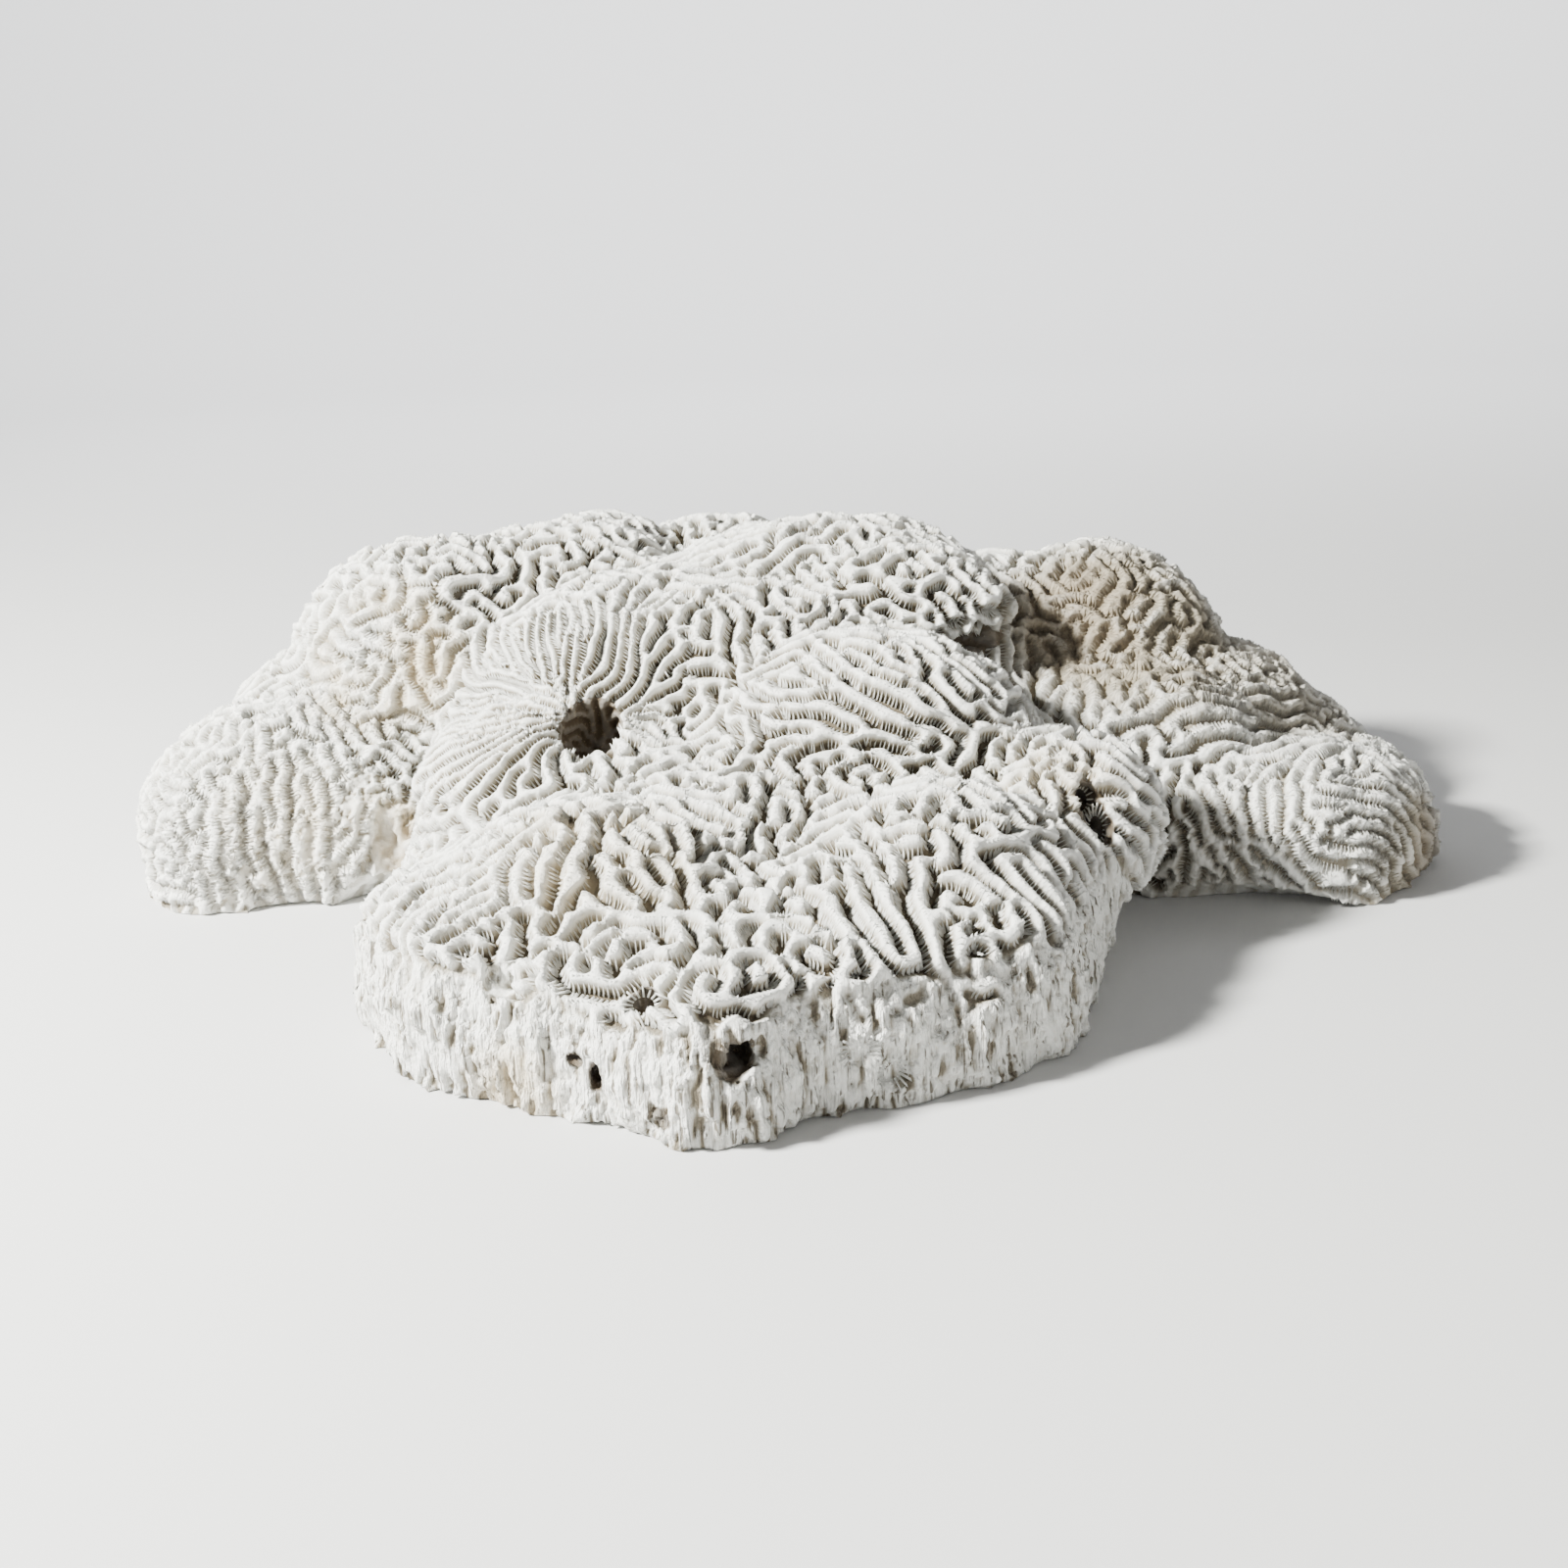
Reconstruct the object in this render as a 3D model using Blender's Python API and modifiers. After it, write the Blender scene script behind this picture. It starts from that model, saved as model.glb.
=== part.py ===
"""Brain coral: one dead, bleached coral skeleton, cut off flat underneath.

The piece grew as one, so it is one solid. Rounded lumps are grown together
into the base form, meandering ridges are raised on it, the eaten-out hole and
the pits are cut in, and the underside is sawn flat.
X runs along the long side, the photographed front faces -Y, Z is up.
Sizes are in millimetres.
"""

import math

import bmesh
import bpy
import numpy as np
from mathutils import Matrix, Vector, noise

MM = 0.001

# The skin that everything is shaped on
SKIN_CELL = 1.9
SKIN_SMOOTHING = 26
LUMP_SEGMENTS = 32
LUMP_RINGS = 20

# Uneven growth, wider than the ridges
SWELL_WIDTH = 34.0
SWELL_HEIGHT = 3.0

# Meandering ridges
RIDGE_PITCH = 11.5
RIDGE_HEIGHT = 3.2
RIDGE_ROUNDS = 60
RIDGE_CONTRAST = 1.6
RIDGE_SEED = Vector((3.7, 1.9, 8.3))
PITCH_TO_BLUR = 6.5

# On sides steeper than this (1 is upright) the ridges run down to the base
STEEP_FROM = 0.8
STEEP_FULL = 0.95
DOWNHILL_PULL = 5.0

# Decimals kept, so that small differences between computers never grow
PATTERN_DECIMALS = 6
POINT_DECIMALS = 4

# What the finished solid may hold
TRIANGLE_BUDGET = 9300
SAW_MARGIN = 5.0

# Lumps of the colony: name, centre, half sizes, roundness
# (roundness 1 is an ellipsoid, lower values are flatter on top with steeper sides)
LUMPS = [
    ("heart low", (-2, -5, 0), (90, 104, 43), 0.8),
    ("heart high", (-6, 34, 20), (84, 58, 55), 0.8),
    ("crown", (16, 50, 44), (50, 34, 40), 0.8),
    ("crown ledge", (36, 28, 70), (24, 20, 9), 1.0),
    ("ledge tip", (49, 22, 65), (18, 16, 8), 1.0),
    ("crown saddle", (66, 58, 32), (32, 36, 38), 0.9),
    ("middle hill", (25, -12, 36), (44, 42, 29), 1.0),
    ("hole hill", (-44, -8, 28), (42, 44, 26), 1.0),
    ("front saddle", (-2, -48, 16), (66, 40, 30), 0.9),
    ("front plate", (-6, -76, 2), (79, 63, 33), 0.55),
    ("front left hill", (-35, -78, 22), (38, 34, 24), 1.0),
    ("front right hill", (34, -74, 22), (36, 34, 23), 1.0),
    ("front rim 1", (-66, -80, 8), (22, 23, 24), 0.65),
    ("front rim 2", (-54, -96, 8), (26, 27, 25), 0.65),
    ("front rim 3", (-32, -112, 8), (27, 23, 24), 0.65),
    ("front rim 4", (-11, -124, 6), (21, 26, 25), 0.65),
    ("front rim 5", (14, -114, 8), (22, 23, 24), 0.65),
    ("front rim 6", (40, -96, 8), (27, 27, 25), 0.65),
    ("front rim 7", (52, -68, 10), (24, 34, 26), 0.65),
    ("right small lobe", (70, -46, 28), (23, 26, 18), 0.9),
    ("right bridge", (90, 22, 14), (42, 42, 33), 0.8),
    ("right lump", (106, 8, 28), (21, 19, 20), 1.0),
    ("right wing 1", (112, -8, 6), (28, 26, 25), 0.7),
    ("right wing 2", (136, -12, 6), (26, 27, 25), 0.7),
    ("right wing 3", (149, 5, 5), (22, 28, 24), 0.7),
    ("right ridge", (95, 58, 30), (34, 36, 42), 0.9),
    ("right ridge low", (121, 44, 12), (34, 40, 33), 0.9),
    ("back 1", (135, 46, 6), (32, 34, 25), 0.8),
    ("back 2", (102, 84, 12), (36, 32, 31), 0.8),
    ("back 3", (60, 92, 20), (42, 36, 38), 0.9),
    ("back knob", (-14, 101, 38), (36, 25, 40), 0.9),
    ("back 4", (5, 104, 12), (44, 32, 34), 0.8),
    ("back left knob", (-46, 90, 42), (28, 24, 41), 0.9),
    ("back 6", (-90, 84, 14), (38, 32, 39), 0.8),
    ("left shoulder", (-90, 54, 34), (39, 34, 48), 0.85),
    ("left plateau", (-56, 66, 38), (40, 32, 45), 0.85),
    ("left back", (-117, 50, 14), (35, 35, 38), 0.8),
    ("left arm", (-127, 20, 8), (34, 26, 39), 0.75),
    ("left arm tip", (-142, 10, 8), (21, 20, 28), 0.75),
    ("left arm root", (-108, 14, 12), (26, 22, 28), 0.9),
]

# Hollows eaten or broken into the colony:
# name, centre, half width, half height, half depth, direction inwards
HOLLOWS = [
    ("great hole", (-40, -25, 48), 7.6, 11.0, 17, (0.05, 0.72, -0.66)),
    ("rim pit", (-4, -142, 18), 3.0, 3.4, 9, (0.1, 1.0, 0.0)),
    ("star pit", (-23, -136, 25), 3.6, 3.0, 6, (0.0, 0.8, -0.6)),
    ("cup", (-51, -122, 26), 4.2, 4.2, 5, (0.1, 0.5, -0.85)),
    ("under the ledge", (57, 8, 57), 15, 3.4, 10, (-0.6, 0.8, 0.05)),
    ("lobe fissure", (73, -66, 34), 2.6, 6.0, 8, (-0.1, 0.9, -0.3)),
    ("arm crease", (-95, -12, 16), 5.0, 11, 11, (-0.1, 0.95, 0.3)),
    ("under the arm", (-96, -12, -1), 15, 8, 15, (0.0, 1.0, 0.2)),
    ("under the wing", (113, -36, -2), 30, 7, 11, (0.0, 1.0, 0.1)),
]
HOLLOW_SEGMENTS = 20
HOLLOW_RINGS = 12


def clear_scene():
    for item in list(bpy.data.objects):
        bpy.data.objects.remove(item)


def add_lump(shape, centre, half_sizes, roundness):
    """One rounded lump, with its side profile squared off by its roundness."""
    made = bmesh.ops.create_uvsphere(
        shape, u_segments=LUMP_SEGMENTS, v_segments=LUMP_RINGS, radius=1.0
    )
    for vert in made["verts"]:
        across = math.hypot(vert.co.x, vert.co.y)
        widen = across ** (roundness - 1.0) if across > 0.01 else 1.0
        height = math.copysign(abs(vert.co.z) ** roundness, vert.co.z)
        vert.co = Vector((
            (centre[0] + half_sizes[0] * vert.co.x * widen) * MM,
            (centre[1] + half_sizes[1] * vert.co.y * widen) * MM,
            (centre[2] + half_sizes[2] * height) * MM,
        ))


def object_from(shape, name):
    """A scene object that holds the given shape."""
    mesh = bpy.data.meshes.new(name)
    shape.to_mesh(mesh)
    shape.free()
    item = bpy.data.objects.new(name, mesh)
    bpy.context.scene.collection.objects.link(item)
    return item


def settle(item):
    """Bake the object's modifiers into its mesh."""
    graph = bpy.context.evaluated_depsgraph_get()
    finished = bpy.data.meshes.new_from_object(item.evaluated_get(graph))
    item.modifiers.clear()
    item.data = finished


def grown_form():
    """All lumps grown together under one even skin."""
    shape = bmesh.new()
    for _name, centre, half_sizes, roundness in LUMPS:
        add_lump(shape, centre, half_sizes, roundness)
    item = object_from(shape, "coral")
    skin = item.modifiers.new("skin", "REMESH")
    skin.mode = "VOXEL"
    skin.voxel_size = SKIN_CELL * MM
    soften = item.modifiers.new("soften", "SMOOTH")
    soften.factor = 0.5
    soften.iterations = SKIN_SMOOTHING
    settle(item)
    return item


def read_points(mesh):
    """Vertex positions and normals, in millimetres."""
    count = len(mesh.vertices)
    points = np.empty(count * 3)
    normals = np.empty(count * 3)
    mesh.vertices.foreach_get("co", points)
    mesh.vertices.foreach_get("normal", normals)
    return points.reshape(-1, 3) / MM, normals.reshape(-1, 3)


def write_points(mesh, points):
    mesh.vertices.foreach_set("co", (np.round(points, POINT_DECIMALS) * MM).ravel())
    mesh.update()


def raise_swells(item):
    """Uneven growth over the whole colony."""
    points, normals = read_points(item.data)
    heights = np.array([
        noise.noise(Vector(point) / SWELL_WIDTH + RIDGE_SEED) for point in points
    ])
    write_points(item.data, points + normals * (heights * SWELL_HEIGHT)[:, None])


def neighbour_links(mesh):
    """Pairs of neighbouring vertices, both ways round, across edges and faces."""
    edges = np.empty(len(mesh.edges) * 2, dtype=np.int64)
    mesh.edges.foreach_get("vertices", edges)
    pairs = [edges.reshape(-1, 2)]
    corners = np.array(
        [list(face.vertices) for face in mesh.polygons if len(face.vertices) == 4]
    )
    pairs.append(corners[:, [0, 2]])
    pairs.append(corners[:, [1, 3]])
    pairs = np.concatenate(pairs)
    return np.concatenate([pairs, pairs[:, ::-1]])


def ridge_pattern(points, normals, links):
    """Meanders from -1 in the valleys to 1 on the crests.

    Repeatedly sharpening the difference between a narrow and a wide blur of
    an uneven start makes winding ridges of one pitch. On steep sides the blur
    reaches further downhill, so the ridges there run down to the base.
    """
    here = links[:, 0]
    there = links[:, 1]
    steps = points[there] - points[here]
    lengths = np.linalg.norm(steps, axis=1)
    downhill = np.array([0.0, 0.0, -1.0]) + normals * normals[:, 2:3]
    steepness = np.linalg.norm(downhill, axis=1)
    downhill /= np.maximum(steepness, 1e-6)[:, None]
    along = np.abs((steps * downhill[here]).sum(axis=1)) / lengths
    steep = (steepness[here] - STEEP_FROM) / (STEEP_FULL - STEEP_FROM)
    pull = DOWNHILL_PULL * np.clip(steep, 0.0, 1.0)
    weights = (1.0 + pull * along ** 2) / lengths ** 2
    totals = np.bincount(here, weights=weights, minlength=len(points))
    spread = np.bincount(here, weights=weights * lengths ** 2, minlength=len(points))
    step_variance = float(np.median(spread / totals)) / 4.0
    narrow = RIDGE_PITCH / PITCH_TO_BLUR
    narrow_steps = max(1, round(narrow ** 2 / step_variance))
    wide_steps = 4 * narrow_steps

    def blurred(values, count):
        for _step in range(count):
            gathered = np.bincount(here, weights=weights * values[there], minlength=len(values))
            values = 0.5 * values + 0.5 * gathered / totals
        return values

    start = 2.0 / RIDGE_PITCH
    values = np.array([noise.noise(Vector(point) * start + RIDGE_SEED) for point in points])
    for _round in range(RIDGE_ROUNDS):
        near = blurred(values, narrow_steps)
        far = blurred(near, wide_steps - narrow_steps)
        change = near - far
        values = np.round(np.tanh(RIDGE_CONTRAST * change / change.std()), PATTERN_DECIMALS)
    return values


def raise_ridges(item):
    points, normals = read_points(item.data)
    pattern = ridge_pattern(points, normals, neighbour_links(item.data))
    lift = pattern * RIDGE_HEIGHT / 2.0
    write_points(item.data, points + normals * lift[:, None])


def add_hollow(shape, centre, half_width, half_height, half_depth, inwards):
    """One rounded hollow that points inwards, its height measured upwards."""
    turn = Vector(inwards).to_track_quat("Z", "Y").to_matrix().to_4x4()
    size = Matrix.Diagonal((half_width * MM, half_height * MM, half_depth * MM, 1.0))
    place = Matrix.Translation(Vector(centre) * MM)
    bmesh.ops.create_uvsphere(
        shape,
        u_segments=HOLLOW_SEGMENTS,
        v_segments=HOLLOW_RINGS,
        radius=1.0,
        matrix=place @ turn @ size,
    )


def eat_hollows(item):
    """Cut every hollow out of the colony."""
    for name, centre, half_width, half_height, half_depth, inwards in HOLLOWS:
        shape = bmesh.new()
        add_hollow(shape, centre, half_width, half_height, half_depth, inwards)
        cutter = object_from(shape, name)
        cut = item.modifiers.new(name, "BOOLEAN")
        cut.operation = "DIFFERENCE"
        cut.solver = "EXACT"
        cut.object = cutter
        settle(item)
        bpy.data.objects.remove(cutter)


def saw_flat(item, level):
    """Cut away everything below the level and close the cut."""
    shape = bmesh.new()
    shape.from_mesh(item.data)
    everything = shape.verts[:] + shape.edges[:] + shape.faces[:]
    cut = bmesh.ops.bisect_plane(
        shape,
        geom=everything,
        plane_co=(0.0, 0.0, level * MM),
        plane_no=(0.0, 0.0, 1.0),
        clear_inner=True,
    )
    rim = [part for part in cut["geom_cut"] if isinstance(part, bmesh.types.BMEdge)]
    bmesh.ops.contextual_create(shape, geom=rim)
    bmesh.ops.triangulate(shape, faces=shape.faces[:])
    shape.to_mesh(item.data)
    shape.free()


def thin_out(item, budget):
    """Keep about the budgeted number of triangles, most where the form bends."""
    item.data.calc_loop_triangles()
    thin = item.modifiers.new("thin", "DECIMATE")
    thin.ratio = budget / len(item.data.loop_triangles)
    settle(item)


def centre_on_base(item):
    """Move the middle of the outer box over the origin, with the base at Z = 0."""
    points, _normals = read_points(item.data)
    middle = (points.min(axis=0) + points.max(axis=0)) / 2.0
    middle[2] = 0.0
    write_points(item.data, points - middle)


def chalky_coral():
    """Dry coral limestone: off-white, rough and without any shine."""
    look = bpy.data.materials.new("coral_limestone")
    look.use_nodes = True
    surface = look.node_tree.nodes["Principled BSDF"]
    surface.inputs["Base Color"].default_value = (0.80, 0.75, 0.66, 1.0)
    surface.inputs["Roughness"].default_value = 0.92
    surface.inputs["Metallic"].default_value = 0.0
    return look


def build_coral():
    clear_scene()
    item = grown_form()
    raise_swells(item)
    raise_ridges(item)
    saw_flat(item, -SAW_MARGIN)
    eat_hollows(item)
    thin_out(item, TRIANGLE_BUDGET)
    saw_flat(item, 0.0)
    centre_on_base(item)
    item.data.name = "coral"
    item.data.materials.clear()
    item.data.materials.append(chalky_coral())
    return item


coral = build_coral()
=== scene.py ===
"""Looks of the brain coral: fine ridges, their septa, the broken rim and the stone.

Sizes are in millimetres unless a name or a comment says otherwise.
X runs along the long side, the photographed front faces -Y, Z is up.
"""

import math

import bmesh
import bpy
import numpy as np
from mathutils import Matrix, Vector, noise
from mathutils.geometry import delaunay_2d_cdt
from mathutils.kdtree import KDTree


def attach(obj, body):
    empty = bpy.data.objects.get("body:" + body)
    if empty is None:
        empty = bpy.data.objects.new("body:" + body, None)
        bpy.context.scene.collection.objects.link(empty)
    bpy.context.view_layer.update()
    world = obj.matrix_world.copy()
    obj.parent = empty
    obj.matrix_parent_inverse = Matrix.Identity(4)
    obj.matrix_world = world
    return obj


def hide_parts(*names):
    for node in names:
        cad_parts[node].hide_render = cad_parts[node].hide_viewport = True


MM = 0.001
SEED = Vector((12.3, 4.1, 7.7))

# Working skins: the size of their cells
FORM_CELL = 1.5
HOLLOW_CELL = 0.5
LAYOUT_CELL = 1.15
FINE_CELL = 0.68

# How far the solid's own ridges are blurred away, and the steps that smooth a skin and its normals
FORM_BLUR = 3.8
SKIN_STEPS = 3
NORMAL_STEPS = 6

# Points this low are the base: of the form, and of a skin as a share of its cell
FORM_BASE = 0.4
SKIN_BASE = 0.35

# How uneven a hollow's wall is, as a share of the hollow's size
HOLLOW_UNEVEN = 0.22

# Ridges: their pitch, how far a crest stands above its valley, and the share of that above the form
PITCH = 5.3
RIDGE_DEPTH = 4.0
CREST_SHARE = 0.46

# How unevenly deep they are, and what of it is lost where worn, on the rim and in shallow places
DEPTH_UNEVEN = 0.3
WORN_LOSS = 0.8
RIM_LOSS = 0.75
SHALLOW_LOSS = 0.6

# How the ridges are laid out: the rounds and their contrast, on the coarse and on the fine skin
LAYOUT_ROUNDS = 80
LAYOUT_CONTRAST = 1.4
FINE_ROUNDS = 5
FINE_CONTRAST = 1.6

# In each round: the width of both blurs, how far values are combed along a run and how strictly,
# how far a run wavers, and how readily walls join
NARROW_BLUR = 1.0
COMB_WIDTH = 1.8
COMB_SHARPNESS = 8
RUN_WAVER = 1.1
WALLS_JOIN = 0.12

# The share of its reach within which a place, a run or a pitch has its full strength
PLACE_FULL = 0.45
RUN_FULL = 0.7
PITCH_FULL = 0.6

# How the layout becomes cords of even height: a first blur, the width over which the swing is made
# the same, how strong it then is, how much wider valleys are, and how much the cords are round
LAYOUT_BLUR = 0.4
SWING_WIDTH = 3.0
SWING_GAIN = 0.76
VALLEY_WIDER = 0.2
CORD_SHARE = 0.25

# The broken rim fades out between these values of the normal's Z, of Y and of Z
RIM_STEEP = (0.35, 0.75)
RIM_FRONT = (-70.0, -45.0)
RIM_LOW = (22.0, 31.0)

# Its strands and folds: the steps that draw strands out, the width above which strands and grains
# are evened out, and how far strands and folds lift the surface
STRAND_STEPS = 26
FINE_WIDTH = 1.2
STRAND_LIFT = 0.5
FOLD_LIFT = 2.0

# Grain and waves on whole skin, and what is added to them where it is worn
GRAIN_LIFT = (0.05, 0.3)
SMALL_WAVES = (0.1, 0.5)
CREST_WAVES = 0.3

# Septa: how far apart, half their thickness, how proud of the skin and how deep in it they stand
SEPTUM_STEP = 1.0
SEPTUM_HALF_THICK = 0.2
SEPTUM_PROUD = 0.9
SEPTUM_ROOT = 0.6

# No septa stand lower than this, or where the skin is more worn than this
SEPTA_LOWEST = 2.0
SEPTA_MOST_WORN = 0.7

# A blade's two ends: how far uphill, the share of how proud it stands, and how deep its painted
# valley shade
BLADE_ENDS = (1.1, -1.2)
BLADE_PROUD = (0.3, 1.0)
BLADE_VALLEY = (0.0, 0.3)
BLADE_FACES = (
    (0, 2, 1), (3, 4, 5), (0, 1, 4), (0, 4, 3), (0, 3, 5), (0, 5, 2),
)
BLADE_CORNERS = 6

# Teeth round a hollow: how far apart, and their two ends, as shares of the hollow's half size
# and millimetres inwards, and how tall they are
TOOTH_STEP = 1.2
TOOTH_ENDS = ((1.25, 0.0), (0.6, 1.6))
TOOTH_HEIGHT = 1.0

# The fan of rays round the great hole: what it fans out from, the middle of its patch seen
# from there, and how far the patch is full and reaches
RAY_MIDDLE = (-45, -20, 48)
RAY_COUNT = 44
RAY_PATCH = (-12.0, 14.0, 6.0)
RAY_FULL = 26.0
RAY_REACH = 38.0
RAY_STRENGTH = 2.0

# Where the ridges run a certain way: name, middle, reach, "from" a point, "along" a direction
# or "down" the slope, that point or direction, strength
RUNS = [
    ("rays round the hole", (-58, -2, 55), 38, "from", RAY_MIDDLE, 0.3),
    ("left arm", (-126, -4, 14), 26, "down", (0, 0, 0), 0.3),
    ("wing edge", (112, -30, 8), 26, "down", (0, 0, 0), 0.16),
    ("wing tip", (146, -26, 12), 26, "along", (1.0, 0.2, -0.7), 0.2),
    ("front left hill", (-34, -84, 40), 30, "along", (0.3, -1.0, -0.3), 0.14),
    ("small lobe edge", (70, -64, 24), 18, "down", (0, 0, 0), 0.25),
    ("front crease", (20, -104, 32), 16, "along", (0.2, -1.0, -0.4), 0.5),
    ("hill flank", (56, -92, 30), 16, "along", (0.6, -0.7, -0.5), 0.2),
    ("middle hill", (20, -20, 58), 30, "along", (1.0, -0.6, 0.0), 0.16),
    ("beside the crown", (66, 4, 52), 24, "along", (0.1, 1.0, 0.3), 0.3),
    ("crown top", (-10, 50, 78), 24, "along", (1.0, 0.2, 0.0), 0.25),
    ("wing top", (128, 6, 32), 30, "along", (1.0, 0.7, 0.0), 0.2),
]

# Where the ridges stand closer together or further apart: name, middle, reach, pitch
PITCHES = [
    ("rays round the hole", (-58, -2, 55), 40, 3.0),
    ("crown", (10, 48, 78), 40, 5.9),
    ("front right hill", (34, -80, 44), 30, 6.0),
    ("front left hill", (-36, -86, 38), 30, 5.9),
    ("wing edge", (124, -30, 8), 40, 4.1),
    ("left arm", (-134, 4, 20), 40, 4.3),
]

# Worn places: name, middle, reach, how far the ridges are gone
WORN = [
    ("arm tip", (-150, 0, 14), 22, 0.5),
    ("slope by the arm", (-86, -26, 32), 22, 0.65),
    ("front left slope", (-66, -84, 34), 22, 0.6),
    ("rays round the hole", (-60, 0, 56), 38, 0.25),
    ("round the hole", (-46, -20, 48), 11, 0.6),
    ("left shoulder side", (-118, 30, 40), 22, 0.5),
    ("arm root", (-104, 4, 24), 16, 0.8),
    ("lobe fissure", (68.5, -57, 35), 10, 0.5),
]

# Where the ridges are lower and the painted shade in their valleys is paler: name, middle, reach,
# how much
SHALLOW = [
    ("left arm", (-132, 4, 20), 44, 0.9),
    ("left shoulder", (-102, 40, 52), 40, 0.7),
    ("wing edge", (124, -28, 8), 44, 0.7),
    ("wing top", (140, 14, 26), 30, 0.45),
    ("wing hollow", (100, 30, 48), 54, 0.8),
]

# Where the painted shade in the valleys is deeper: name, middle, reach, how much
DEEPER_VALLEY_SHADE = [
    ("rays round the hole", (-66, -4, 54), 42, 0.8),
    ("middle hill", (16, -30, 56), 40, 0.25),
]

# Tints on the stone: name, middle, reach, strength. The cream is a stain; the tan and the brown are
# partly stain and partly painted shade
CREAM = [
    ("left shoulder", (-104, 32, 56), 28, 0.8),
    ("arm crease", (-101, 5, 18), 13, 1.0),
    ("rim underside left", (-54, -120, 4), 14, 0.9),
    ("arm face", (-128, -2, 20), 26, 0.35),
    ("front left hill", (-38, -86, 38), 30, 0.35),
    ("small lobe", (62, -50, 38), 18, 0.4),
]
# Tan, partly the stone's own and partly painted shade: the wing's hollow that the crown shades, and
# the wing's edge and tip
TAN_AND_SHADE_PLACES = [
    ("wing hollow", (94, 36, 54), 48, 0.9),
    ("wing behind", (128, 40, 34), 40, 0.6),
    ("wing edge", (98, -24, 12), 20, 0.35),
    ("wing tip", (156, -18, 6), 26, 0.8),
]
# Brown, partly dirt and partly painted shade: in the wing's hollow, at the wing's tip, on the back
# and in the arm's crease
DIRT_AND_SHADE = [
    ("wing hollow", (80, 40, 58), 26, 0.4),
    ("wing tip", (162, -8, 6), 18, 0.5),
    ("back", (60, 120, 30), 60, 0.25),
    ("arm crease", (-100, 4, 14), 9, 0.5),
]

# Hollows: name, middle, half width, half height, half depth, direction inwards
HOLLOWS = [
    ("great hole", (-44.7, -18, 48), 7.6, 11.0, 17, (0.05, 0.72, -0.66)),
    ("rim pit", (-10.4, -135, 17.7), 3.6, 4.1, 9, (0.1, 1.0, 0.0)),
    ("star pit", (-27.7, -128, 25), 3.4, 2.6, 5, (0.0, 0.8, -0.6)),
    ("star cup 1", (13.0, -129.5, 13), 3.4, 3.2, 3, (-0.1, 1.0, 0.0)),
    ("star cup 2", (19.5, -127.5, 7), 3.0, 3.0, 3, (-0.2, 1.0, 0.1)),
    ("cup", (-56, -114, 25), 3.6, 3.6, 4, (0.1, 0.5, -0.85)),
    ("slit pit", (-37.3, -127, 10), 1.5, 3.0, 6, (0.1, 1.0, 0.1)),
    ("small pit 1", (-41.7, -127, 13), 1.5, 1.2, 4, (0.0, 1.0, 0.0)),
    ("small pit 2", (-25.6, -140, 5.5), 2.2, 1.6, 4, (0.0, 1.0, 0.0)),
    ("under the ledge", (52.3, 15, 57), 15, 3.0, 10, (-0.6, 0.8, 0.05)),
    ("lobe fissure upper", (67, -54, 37.5), 2.6, 4.2, 8, (-0.1, 0.9, -0.3)),
    ("lobe fissure middle", (68.5, -56, 34.8), 2.6, 3.6, 8, (-0.1, 0.9, -0.3)),
    ("lobe fissure lower", (70, -58, 32), 2.6, 4.6, 8, (-0.1, 0.9, -0.3)),
    ("arm crease", (-99.7, -5, 16), 5.0, 11, 11, (-0.1, 0.95, 0.3)),
    ("under the arm", (-100.7, -5, -1), 15, 8, 15, (0.0, 1.0, 0.2)),
    ("under the wing", (108.3, -29, -2), 30, 7, 11, (0.0, 1.0, 0.1)),
]

# Hollows without painted shade inside, as pale as the skin round them
LIGHT_HOLLOWS = (
    "cup", "star cup 1", "star cup 2", "arm crease", "under the arm", "under the wing",
)

# Hollows with teeth round their edge
TOOTHED = ("lobe fissure upper", "lobe fissure lower", "star pit", "star cup 1", "star cup 2")

# Colours of the stone: white crests, painted shade on the walls and in the valleys (partly a real
# stain in the valleys), cream, tan and brown stains (the tan and brown partly painted shade), and
# painted shade inside the hollows
CREST_WHITE = (0.86, 0.86, 0.82)
# Painted shade on the ridge walls; the sawn base uses it as its own tone
WALL_SHADE_AND_SAWN_TONE = (0.37, 0.335, 0.27)
# Painted shade in the valley bottoms, partly a real stain; also the painted shade in the rim's fibre
# grooves and the colour of the sawn base's pores
VALLEY_SHADE_STAIN_AND_PORES = (0.11, 0.09, 0.062)
OLD_CREAM = (0.66, 0.56, 0.40)
# Tan, partly stain and partly painted shade
TAN_STAIN_AND_SHADE = (0.30, 0.255, 0.18)
# Brown, partly dirt and partly painted shade
BROWN_DIRT_AND_SHADE = (0.26, 0.20, 0.14)
# Painted shade inside the hollows, dark brown
HOLLOW_SHADE_BROWN = (0.10, 0.075, 0.05)

# Depths in a valley between which its walls and then its bottom take their painted shade
WALL_COLOURED = (0.12, 0.5)
BOTTOM_COLOURED = (0.4, 0.85)

# How much paler the painted valley shade is where the skin is worn, in shallow places and on the rim
PALER_WORN = 0.4
PALER_SHALLOW = 0.7
PALER_RIM = 0.75

# The sizes of the patches, the grain and the strands in the stone
PATCH_SIZE = 22.0
GRAIN_SIZE = 1.1
STRAND_SIZE = 1.2
GRAIN_BUMP_METRES = 0.0006
SAW_BUMP_METRES = 0.0002

# The skin and its septa are kept as bands from -X to +X
BANDS = ("left_end", "left", "right", "right_end")

# A choice of the triangulation: keep what lies inside the outline, and leave holes open
INSIDE_WITH_HOLES = 3

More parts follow.
